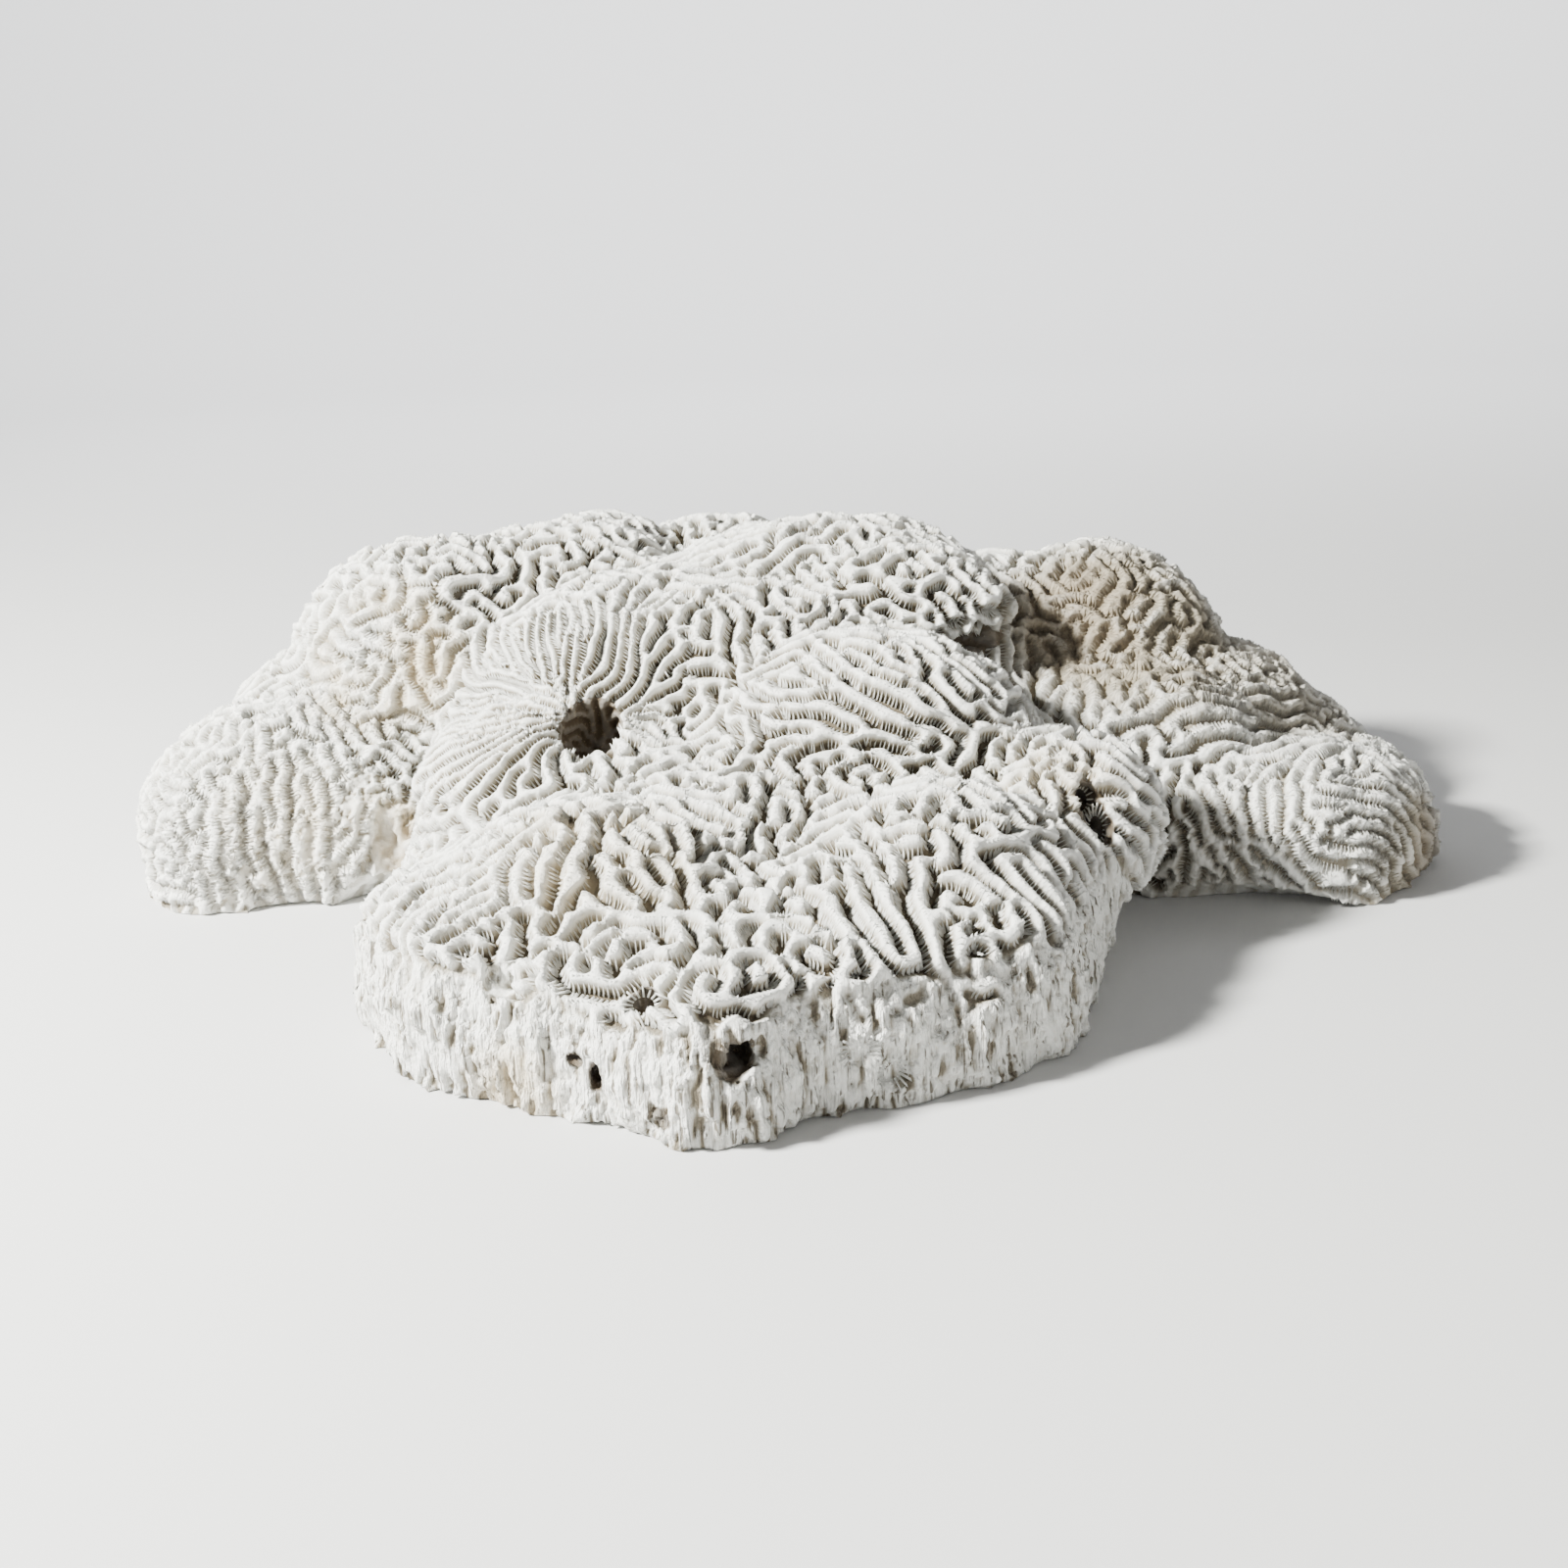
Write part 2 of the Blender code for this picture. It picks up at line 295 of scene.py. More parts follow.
# The floor in metres: its flat part, the curve and the wall, and a gap just clear of the sawn base
FLOOR_FLAT = 1.4
FLOOR_CURVE = 0.8
FLOOR_WALL = 3.0
FLOOR_GAP = 0.0002
FLOOR_SIDES = 96
FLOOR_STEPS = 14
FLOOR_GREY = (0.60, 0.60, 0.60, 1.0)

# Lights: name, place and size in metres, watts, colour, what it looks at
LIGHTS = [
    ("key", (-0.72, -0.3, 0.63), 0.14, 62.0, (1.0, 1.0, 0.945), (0.0, 0.0, 0.04)),
    ("fill", (0.8, -0.7, 0.5), 0.8, 1.0, (1.0, 1.0, 0.955), (0.0, 0.0, 0.04)),
    ("wash", (0.0, 0.9, 1.4), 1.2, 75.0, (0.97, 0.98, 1.0), (0.0, 2.2, 0.8)),
]
AIR_COLOUR = (0.95, 0.97, 1.0, 1.0)
AIR_STRENGTH = 0.05

# The camera's place in metres, how far it looks down and how far it leans
CAMERA_PLACE = Vector((0.00065, -0.4697, 0.1722))
CAMERA_DOWN = math.radians(17.13)
CAMERA_LEAN = math.radians(-2.38)
CAMERA_LENS = 45.0
CAMERA_SENSOR = 36.0

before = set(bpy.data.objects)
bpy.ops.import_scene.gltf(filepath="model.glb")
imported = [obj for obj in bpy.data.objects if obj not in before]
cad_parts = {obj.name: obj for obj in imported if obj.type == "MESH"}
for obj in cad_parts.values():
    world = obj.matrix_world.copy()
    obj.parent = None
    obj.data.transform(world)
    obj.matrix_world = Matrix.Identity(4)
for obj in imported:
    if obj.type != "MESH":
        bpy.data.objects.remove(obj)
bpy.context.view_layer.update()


def settled(item):
    """Replace the object's mesh by the one its modifiers make."""
    graph = bpy.context.evaluated_depsgraph_get()
    finished = bpy.data.meshes.new_from_object(item.evaluated_get(graph))
    item.modifiers.clear()
    item.data = finished
    return item


def new_object(name, data):
    item = bpy.data.objects.new(name, data)
    bpy.context.scene.collection.objects.link(item)
    return item


def remesh(item, cell):
    skin = item.modifiers.new("skin", "REMESH")
    skin.mode = "VOXEL"
    skin.voxel_size = cell * MM
    return settled(item)


def read_points(mesh):
    points = np.empty(len(mesh.vertices) * 3, dtype=np.float32)
    mesh.vertices.foreach_get("co", points)
    return points.reshape(-1, 3).astype(float) / MM


def write_points(mesh, points):
    mesh.vertices.foreach_set("co", (points * MM).astype(np.float32).ravel())
    mesh.update()


def quads_of(mesh):
    """Corner numbers of the faces of a remeshed skin, which are all four-sided."""
    corners = np.empty(len(mesh.loops), dtype=np.int32)
    mesh.loops.foreach_get("vertex_index", corners)
    return corners.reshape(-1, 4).astype(np.int64)


def triangles_of(quads):
    return np.concatenate([quads[:, [0, 1, 2]], quads[:, [0, 2, 3]]])


def sides_of(quads):
    return np.concatenate([quads[:, [k, (k + 1) % 4]] for k in range(4)])


def compacted(faces, count):
    """The points that the faces use, and the faces numbered by those points alone."""
    used = np.unique(faces)
    renumber = np.full(count, -1)
    renumber[used] = np.arange(len(used))
    return used, renumber[faces]


def unit(vectors):
    return vectors / np.maximum(np.linalg.norm(vectors, axis=-1, keepdims=True), 1e-9)


def face_normals(points, triangles):
    """A normal for each triangle, twice as long as the triangle is large."""
    corners = points[triangles]
    return np.cross(corners[:, 1] - corners[:, 0], corners[:, 2] - corners[:, 0])


def summed_at_points(values, triangles, count):
    """Each triangle's row of values, added up at its three corners."""
    total = np.zeros((count, values.shape[1]))
    for corner in range(3):
        for column in range(values.shape[1]):
            total[:, column] += np.bincount(
                triangles[:, corner], weights=values[:, column], minlength=count
            )
    return total


def point_normals(points, triangles):
    return unit(summed_at_points(face_normals(points, triangles), triangles, len(points)))


class Spread:
    """Spreads values over a skin, from each point to the ones around it.

    With directions given, the values spread along them and hardly across.
    """

    def __init__(self, points, quads, share=0.5, along=None):
        sides = sides_of(quads)
        across = np.concatenate([quads[:, [0, 2]], quads[:, [1, 3]]])
        pairs = np.concatenate([sides, sides[:, ::-1], across, across[:, ::-1]])
        keys = np.unique(pairs[:, 0] * len(points) + pairs[:, 1])
        self.here = keys // len(points)
        self.there = keys % len(points)
        steps = points[self.there] - points[self.here]
        lengths = np.maximum(np.linalg.norm(steps, axis=1), 1e-6)
        weights = 1.0 / lengths ** 2
        if along is not None:
            lean = np.abs((steps * along[self.here]).sum(axis=1)) / lengths
            weights = weights * (lean ** COMB_SHARPNESS + 1e-4)
        self.share = share
        self.starts = np.searchsorted(self.here, np.arange(len(points)))
        totals = np.add.reduceat(weights, self.starts)
        self.weights = weights / totals[self.here]
        reach = np.add.reduceat(self.weights * lengths ** 2, self.starts)
        self.step_variance = float(np.median(reach)) / 4.0

    def blur(self, values, count):
        weights = self.weights if values.ndim == 1 else self.weights[:, None]
        for _step in range(count):
            gathered = np.add.reduceat(values[self.there] * weights, self.starts)
            values = values + self.share * (gathered - values)
        return values

    def steps_for(self, width):
        """How many spreading steps blur by the given width."""
        return max(1, round(width ** 2 / self.step_variance))


def noise_at(points, width, shift=0.0, stretch=(1.0, 1.0, 1.0)):
    """Smooth noise of the given width, longer where stretched; each shift has its own pattern."""
    scaled = points / (width * np.array(stretch))
    seed = SEED + Vector((shift, 0.0, 0.0))
    return np.array([noise.noise(Vector(point) + seed) for point in scaled])


def ramp(values, low, high):
    """0 below low, 1 above high, smooth between."""
    share = np.clip((values - low) / (high - low), 0.0, 1.0)
    return share * share * (3.0 - 2.0 * share)


def fading(points, middle, reach, full):
    """1 out to the full share of the reach around the middle, and 0 beyond the reach."""
    distance = np.linalg.norm(points - np.array(middle), axis=1)
    return 1.0 - ramp(distance, full * reach, reach)


def near(points, places):
    """The strongest of the places at each point, fading out at its reach."""
    total = np.zeros(len(points))
    for _name, middle, reach, strength in places:
        total = np.maximum(total, strength * fading(points, middle, reach, PLACE_FULL))
    return total


def facing(inwards):
    """The turn that lays a hollow's depth along its direction inwards."""
    return Vector(inwards).to_track_quat("Z", "Y").to_matrix()


def in_hollows(points, swell, left_out=()):
    """1 inside any hollow but the ones left out, 0 outside."""
    inside = np.zeros(len(points), dtype=bool)
    for name, middle, half_width, half_height, half_depth, inwards in HOLLOWS:
        if name in left_out:
            continue
        local = (points - np.array(middle)) @ np.array(facing(inwards))
        local = local / (np.array([half_width, half_height, 1.15 * half_depth]) + swell)
        inside |= (local ** 2).sum(axis=1) < 1.0
    return inside


def hollow_cutter():
    """All hollows as one body, each an uneven ball drawn out to its size."""
    shape = bmesh.new()
    for _name, middle, half_width, half_height, half_depth, inwards in HOLLOWS:
        turn = facing(inwards).to_4x4()
        size = Matrix.Diagonal((half_width * MM, half_height * MM, half_depth * MM, 1.0))
        place = Matrix.Translation(Vector(middle) * MM)
        made = bmesh.ops.create_icosphere(shape, subdivisions=3, radius=1.0)
        for vert in made["verts"]:
            uneven = 1.0 + HOLLOW_UNEVEN * noise.noise(vert.co * 1.7 + Vector(middle))
            vert.co = place @ turn @ size @ (vert.co * uneven)
    mesh = bpy.data.meshes.new("hollows")
    shape.to_mesh(mesh)
    shape.free()
    return remesh(new_object("hollows", mesh), HOLLOW_CELL)


def smooth_form():
    """The colony's form without ridges, from the solid, with its hollows cut again."""
    item = remesh(new_object("form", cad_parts["coral"].data.copy()), FORM_CELL)
    points = read_points(item.data)
    spread = Spread(points, quads_of(item.data))
    on_base = points[:, 2] < FORM_BASE
    for _step in range(spread.steps_for(FORM_BLUR)):
        points = spread.blur(points, 1)
        points[on_base, 2] = 0.0
    write_points(item.data, points)
    cutter = hollow_cutter()
    cut = item.modifiers.new("hollows", "BOOLEAN")
    cut.operation = "DIFFERENCE"
    cut.solver = "EXACT"
    cut.object = cutter
    settled(item)
    bpy.data.objects.remove(cutter)
    return item


def skin_of(form, cell):
    """A skin of even cells over the form, open at the base: its points, faces and base points."""
    item = remesh(new_object("skin", form.data.copy()), cell)
    points = read_points(item.data)
    quads = quads_of(item.data)
    bpy.data.objects.remove(item)
    on_base = points[:, 2] < SKIN_BASE * cell
    used, quads = compacted(quads[~on_base[quads].all(axis=1)], len(points))
    points = points[used]
    on_base = on_base[used]
    spread = Spread(points, quads)
    for _step in range(SKIN_STEPS):
        points = spread.blur(points, 1)
        points[on_base, 2] = 0.0
    return points, quads, on_base


def ridge_runs(points, normals):
    """The direction the ridges are drawn along at each point, and how strongly."""
    along = np.zeros((len(points), 3))
    pull = np.zeros(len(points))
    for _name, middle, reach, how, guide, strength in RUNS:
        if how == "from":
            wanted = points - np.array(guide)
        elif how == "down":
            wanted = np.tile([0.0, 0.0, -1.0], (len(points), 1))
        else:
            wanted = np.tile(np.array(guide, dtype=float), (len(points), 1))
        wanted = unit(wanted - normals * (wanted * normals).sum(axis=1)[:, None])
        share = strength * fading(points, middle, reach, RUN_FULL)
        stronger = share > pull
        along[stronger] = wanted[stronger]
        pull[stronger] = share[stronger]
    turn = (RUN_WAVER * noise_at(points, 16.0, shift=17.0))[:, None]
    along = along * np.cos(turn) + np.cross(normals, along) * np.sin(turn)
    return along, pull


def rays_on(points):
    """Rays that fan out from the great hole, from -1 to 1, and nothing elsewhere."""
    aside = points - np.array(RAY_MIDDLE)
    across = aside @ np.array([1.0, 0.0, 0.0])
    upward = aside @ np.array([0.0, 0.8, 0.6])
    turn = np.arctan2(upward, across)
    distance = np.linalg.norm(aside - np.array(RAY_PATCH), axis=1)
    share = 1.0 - ramp(distance, RAY_FULL, RAY_REACH)
    return share * np.cos(RAY_COUNT * turn + 1.5 * noise_at(points, 8.0, shift=19.0))


def spreading_share(points):
    """How far a value spreads in one step, so that the pitch comes out as wanted."""
    pitch = np.full(len(points), PITCH)
    for _name, middle, reach, wanted in PITCHES:
        pitch += (wanted - PITCH) * fading(points, middle, reach, PITCH_FULL)
    return 0.5 * (pitch / PITCH) ** 2


def sharpened(values, points, normals, quads, rounds, contrast):
    """Meanders: combed along their runs, then the difference of two blurs, over and over."""
    along, pull = ridge_runs(points, normals)
    comb = Spread(points, quads, pull, along)
    spread = Spread(points, quads, spreading_share(points))
    narrow = spread.steps_for(NARROW_BLUR)
    combing = max(1, round(COMB_WIDTH ** 2 / (4.0 * spread.step_variance)))
    for _round in range(rounds):
        close = spread.blur(comb.blur(values, combing), narrow)
        change = close - spread.blur(close, narrow)
        values = np.tanh(contrast * change / change.std() + WALLS_JOIN)
    return values


def carried_over(source, values, targets):
    """Values at the targets, from the three nearest source points."""
    tree = KDTree(len(source))
    for index, point in enumerate(source):
        tree.insert(point, index)
    tree.balance()
    result = np.empty(len(targets))
    for index, point in enumerate(targets):
        total = 0.0
        weight_sum = 0.0
        for _co, found, distance in tree.find_n(point, 3):
            weight = 1.0 / (distance + 0.05)
            total += values[found] * weight
            weight_sum += weight
        result[index] = total / weight_sum
    return result


def ridge_layout(form, points, normals, quads):
    """Crests at 1 and valleys at -1, laid out coarsely first and then refined."""
    rough, rough_quads, _on_base = skin_of(form, LAYOUT_CELL)
    rough_normals = point_normals(rough, triangles_of(rough_quads))
    start = noise_at(rough, PITCH / 2.0) + RAY_STRENGTH * rays_on(rough)
    values = sharpened(start, rough, rough_normals, rough_quads, LAYOUT_ROUNDS, LAYOUT_CONTRAST)
    values = carried_over(rough, values, points)
    return sharpened(values, points, normals, quads, FINE_ROUNDS, FINE_CONTRAST)


def rim_share(points, normals):
    """Where the edge of the front plate is broken off and fibrous, from 0 to 1."""
    steep = 1.0 - ramp(normals[:, 2], *RIM_STEEP)
    front = 1.0 - ramp(points[:, 1], *RIM_FRONT)
    low = 1.0 - ramp(points[:, 2], *RIM_LOW)
    return steep * front * low


def fibres_down(points, normals, quads, spread, rim):
    """Fine strands that run down the surface, from about -2 to 2."""
    down = unit(normals * normals[:, 2:3] - np.array([0.0, 0.0, 1.0]))
    comb = Spread(points, quads, 0.9, down)
    strands = np.random.default_rng(5).standard_normal(len(points))
    strands = comb.blur(spread.blur(strands, 1), STRAND_STEPS)
    strands = strands - spread.blur(strands, spread.steps_for(FINE_WIDTH))
    return np.clip(strands / strands[rim > 0.5].std(), -2.0, 2.0)


def grains_on(points, spread):
    """Fine grains and pores all over, from about -2 to 2."""
    grains = np.random.default_rng(8).standard_normal(len(points))
    grains = spread.blur(grains, 2)
    grains = grains - spread.blur(grains, spread.steps_for(FINE_WIDTH))
    return np.clip(grains / grains.std(), -2.0, 2.0)


def cord_profile(crest):
    """Height from 0 in the valley to 1 on the crest: rounded cords with narrow valleys."""
    share = 0.5 - 0.5 * crest
    round_top = np.sqrt(np.maximum(1.0 - share ** 2, 0.0))
    return CORD_SHARE * round_top + (1.0 - CORD_SHARE) * (0.5 + 0.5 * np.sin(0.5 * math.pi * crest))


def ridge_lift(depth, height):
    """How far ridges of the given depth lift the surface at the given height."""
    return depth * (height - 1.0 + CREST_SHARE)


def even_crests(layout, spread):
    """The layout with the same swing all over, -1 at the bottom of a valley and 1 on a crest."""
    crest = spread.blur(layout, spread.steps_for(LAYOUT_BLUR))
    swing = np.sqrt(spread.blur(crest ** 2, spread.steps_for(SWING_WIDTH)))
    return np.clip(SWING_GAIN * crest / np.maximum(swing, 0.05) - VALLEY_WIDER, -1.0, 1.0)


def worn_share(points, rim, hollow):
    """How far the ridges are gone: in the worn places, on the rim and in the hollows."""
    worn = np.maximum(near(points, WORN), 0.9 * rim)
    worn = np.clip(worn * (0.8 + 0.7 * noise_at(points, 9.0, shift=3.0)), 0.0, 1.0)
    return np.maximum(worn, hollow)


def raised(points, normals, quads, layout, spread):
    """The finished surface, with what the looks and the septa need to know of it."""
    crest = even_crests(layout, spread)
    height = cord_profile(crest)
    rim = rim_share(points, normals)
    hollow = in_hollows(points, 0.6).astype(float)
    worn = worn_share(points, rim, hollow)
    shallow = near(points, SHALLOW)
    uneven = 1.0 + DEPTH_UNEVEN * noise_at(points, 12.0, shift=5.0)
    depth = RIDGE_DEPTH * uneven * (1.0 - WORN_LOSS * worn)
    depth *= (1.0 - RIM_LOSS * rim) * (1.0 - SHALLOW_LOSS * shallow)
    lift = ridge_lift(depth, height)
    strands = fibres_down(points, normals, quads, spread, rim)
    folds = noise_at(points, 9.0, shift=9.0, stretch=(1.0, 1.0, 3.0))
    lift += rim * (STRAND_LIFT * strands + FOLD_LIFT * folds)
    grains = grains_on(points, spread)
    grainy = np.maximum(worn, 0.7 * shallow) * (1.0 - 0.5 * rim) * (1.0 - 0.8 * hollow)
    lift += (GRAIN_LIFT[0] + GRAIN_LIFT[1] * grainy) * grains
    lift += (SMALL_WAVES[0] + SMALL_WAVES[1] * grainy) * noise_at(points, 2.4, shift=11.0)
    lift += CREST_WAVES * noise_at(points, 4.0, shift=13.0) * height
    lift *= ramp(points[:, 2], 0.0, 1.5)
    # Grooves and pits that get painted shade: between the rim's strands and in the grain's pits
    grooves = np.maximum(
        rim * np.clip(-0.8 * strands - 0.3, 0.0, 1.0),
        grainy * np.clip(-1.2 * grains - 0.5, 0.0, 1.0),
    )
    relief = {
        "crest": crest, "height": height, "depth": depth, "worn": worn, "rim": rim,
        "grooves": grooves,
    }
    return points + normals * lift[:, None], relief


def mesh_from(name, points, triangles, normals=None):
    mesh = bpy.data.meshes.new(name)
    mesh.vertices.add(len(points))
    mesh.vertices.foreach_set("co", (points * MM).astype(np.float32).ravel())
    mesh.loops.add(triangles.size)
    mesh.loops.foreach_set("vertex_index", triangles.astype(np.int32).ravel())
    mesh.polygons.add(len(triangles))
    mesh.polygons.foreach_set("loop_start", np.arange(0, triangles.size, 3, dtype=np.int32))
    mesh.update(calc_edges=True)
    mesh.validate()
    if normals is not None:
        mesh.shade_smooth()
        mesh.normals_split_custom_set_from_vertices(normals.astype(np.float32).tolist())
    return mesh


def coral_piece(name, mesh, material):
    """A visible piece of the coral that rides on the whole, in place of the solid."""
    mesh.materials.append(material)
    piece = new_object(name, mesh)
    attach(piece, "root")
    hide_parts("coral")


def add_bands(first_name, points, triangles, normals, values, material, limits, places):
    """Pieces of the skin or the septa: one for each band that the places fall in."""
    band = np.searchsorted(limits, places)
    for number, name in enumerate(BANDS):
        used, faces = compacted(triangles[band == number], len(points))
        chosen_normals = None if normals is None else normals[used]
        mesh = mesh_from(first_name + name, points[used], faces, chosen_normals)
        for key, numbers in values.items():
            layer = mesh.attributes.new(key, "FLOAT", "POINT")
            layer.data.foreach_set("value", numbers[used].astype(np.float32))
        coral_piece(first_name + name, mesh, material)


def contour_lines(values, triangles):
    """Chains of edge crossings where the values pass through zero."""
    above = values > 0.0
    crossing = above[triangles].any(axis=1) & ~above[triangles].all(axis=1)
    links = {}
    for a, b, c in triangles[crossing].tolist():
        ends = []
        for low, high in ((a, b), (b, c), (c, a)):
            if above[low] != above[high]:
                ends.append((low, high) if low < high else (high, low))
        links.setdefault(ends[0], []).append(ends[1])
        links.setdefault(ends[1], []).append(ends[0])
    lines = []
    seen = set()
    for first in links:
        if first in seen:
            continue
        line = [first]
        seen.add(first)
        grown = True
        while grown:
            grown = False
            for step in links[line[-1]]:
                if step not in seen:
                    seen.add(step)
                    line.append(step)
                    grown = True
                    break
        lines.append(line)
    return lines


def septa_places(points, values, triangles, skip):
    """Evenly spaced places along the mid-slope lines: two point numbers and a share."""
    places = []
    for line in contour_lines(values, triangles):
        ends = np.array(line)
        if len(ends) < 4:
            continue
        low = values[ends[:, 0]]
        share = low / (low - values[ends[:, 1]])
        where = points[ends[:, 0]] * (1 - share)[:, None] + points[ends[:, 1]] * share[:, None]
        gaps = np.linalg.norm(np.diff(where, axis=0), axis=1)
        run = np.concatenate([[0.0], np.cumsum(gaps)])
        wanted = np.arange(0.5 * SEPTUM_STEP, run[-1], SEPTUM_STEP)
        picked = np.unique(np.searchsorted(run, wanted).clip(0, len(run) - 1))
        for index in picked[~skip[ends[picked, 0]]]:
            places.append((ends[index, 0], ends[index, 1], share[index]))
    return np.array(places)


def slope_of(values, points, triangles):
    """The uphill gradient of the values over the skin, at the points."""
    corners = points[triangles]
    face = face_normals(points, triangles)
    area = np.linalg.norm(face, axis=1)[:, None]
    face = face / np.maximum(area, 1e-9)
    gradient = np.zeros((len(triangles), 3))
    for k in range(3):
        opposite = corners[:, (k + 2) % 3] - corners[:, (k + 1) % 3]
        gradient += np.cross(face, opposite) * values[triangles[:, k]][:, None]
    gradient /= np.maximum(area, 1e-9)
    total = summed_at_points(gradient * area, triangles, len(points))
    weight = summed_at_points(area, triangles, len(points))
    return total / np.maximum(weight, 1e-9)


def blade_triangles(count):
    """Corner numbers of the triangles of as many blades."""
    numbers = np.arange(count)[:, None, None] * BLADE_CORNERS + np.array(BLADE_FACES)[None]
    return numbers.reshape(-1, 3)


def septa_blades(points, normals, triangles, relief):
    """Thin plates that stand across the ridge walls like the teeth of a comb, and their middles."""
    worn = np.maximum(relief["worn"], ramp(relief["rim"], 0.2, 0.5))
    skip = (worn > SEPTA_MOST_WORN) | (points[:, 2] < SEPTA_LOWEST)
    places = septa_places(points, relief["crest"], triangles, skip)
    first = places[:, 0].astype(int)
    second = places[:, 1].astype(int)
    share = places[:, 2][:, None]
    slope = slope_of(relief["crest"], points, triangles)

    def between(values):
        return values[first] * (1 - share) + values[second] * share

    middle = between(points)
    normal = unit(between(normals))
    uphill = between(slope)
    uphill = uphill - normal * (uphill * normal).sum(axis=1)[:, None]
    steep = np.linalg.norm(uphill, axis=1)
    uphill = unit(uphill)
    aside = np.cross(normal, uphill)
    local_depth = between(relief["depth"][:, None])[:, 0]
    rows = []
    for offset, proud in zip(BLADE_ENDS, BLADE_PROUD):
        level = np.clip(steep * offset, -1.0, 1.0)
        lift = ridge_lift(local_depth, cord_profile(level))
        line = middle + uphill * offset
        top = line + normal * (lift + SEPTUM_PROUD * proud)[:, None]
        foot = line + normal * (lift - SEPTUM_ROOT)[:, None]
        rows += [top, foot + aside * SEPTUM_HALF_THICK, foot - aside * SEPTUM_HALF_THICK]
    corners = np.stack(rows, axis=1)
    corners[..., 2] = np.maximum(corners[..., 2], 0.0)
    return corners.reshape(-1, 3), middle


def hollow_teeth():
    """White teeth that stand into the small lobe's fissure and the stars, like lace."""
    rows = []
    for name, middle, half_width, half_height, _half_depth, inwards in HOLLOWS:
        if name not in TOOTHED:
            continue
        turn = np.array(facing(inwards))
        count = round(math.pi * (half_width + half_height) / TOOTH_STEP)
        for turned in np.linspace(0.0, 2.0 * math.pi, count, endpoint=False):
            edge = np.array([half_width * math.cos(turned), half_height * math.sin(turned), 0.0])
            aside = np.array([-math.sin(turned), math.cos(turned), 0.0]) * SEPTUM_HALF_THICK
            for reach, depth in TOOTH_ENDS:
                top = edge * reach + np.array([0.0, 0.0, depth])
                foot = top + np.array([0.0, 0.0, TOOTH_HEIGHT])
                for corner in (top, foot + aside, foot - aside):
                    rows.append(np.array(middle) + turn @ corner)
    return np.array(rows)


def nodes_of(material):
    material.use_nodes = True
    tree = material.node_tree
    return tree, tree.nodes["Principled BSDF"]


def mixed(tree, factor, low, high):
    """Two colours, mixed by a factor socket."""
    node = tree.nodes.new("ShaderNodeMix")
    node.data_type = "RGBA"
    tree.links.new(factor, node.inputs["Factor"])
    for socket, value in ((node.inputs[6], low), (node.inputs[7], high)):
        if isinstance(value, tuple):
            socket.default_value = (*value, 1.0)
        else:
            tree.links.new(value, socket)
    return node.outputs[2]


def attribute(tree, name):
    node = tree.nodes.new("ShaderNodeAttribute")
    node.attribute_name = name
    return node.outputs["Fac"]


def noise_node(tree, place, size, detail=4.0, rough=0.6):
    node = tree.nodes.new("ShaderNodeTexNoise")
    node.inputs["Scale"].default_value = 1.0 / (size * MM)
    node.inputs["Detail"].default_value = detail
    node.inputs["Roughness"].default_value = rough
    tree.links.new(place, node.inputs["Vector"])
    return node.outputs["Fac"]


def drawn_out(tree, place, scale):
    """The place, scaled along each axis: a small scale makes what follows longer there."""
    node = tree.nodes.new("ShaderNodeMapping")
    node.inputs["Scale"].default_value = scale
    tree.links.new(place, node.inputs["Vector"])
    return node.outputs["Vector"]


def stretched(tree, socket, low, high, low_out=0.0, high_out=1.0):
    """The socket's values from low to high, brought to the range given."""
    node = tree.nodes.new("ShaderNodeMapRange")
    node.inputs["From Min"].default_value = low
    node.inputs["From Max"].default_value = high
    node.inputs["To Min"].default_value = low_out
    node.inputs["To Max"].default_value = high_out
    tree.links.new(socket, node.inputs["Value"])
    return node.outputs["Result"]


def combined(tree, operation, first, second):
    node = tree.nodes.new("ShaderNodeMath")
    node.operation = operation
    tree.links.new(first, node.inputs[0])
    if isinstance(second, float):
        node.inputs[1].default_value = second
    else:
        tree.links.new(second, node.inputs[1])
    return node.outputs[0]


def bumped(tree, shader, height, strength, distance_metres):
    node = tree.nodes.new("ShaderNodeBump")
    node.inputs["Strength"].default_value = strength
    node.inputs["Distance"].default_value = distance_metres
    tree.links.new(height, node.inputs["Height"])
    tree.links.new(node.outputs["Normal"], shader.inputs["Normal"])


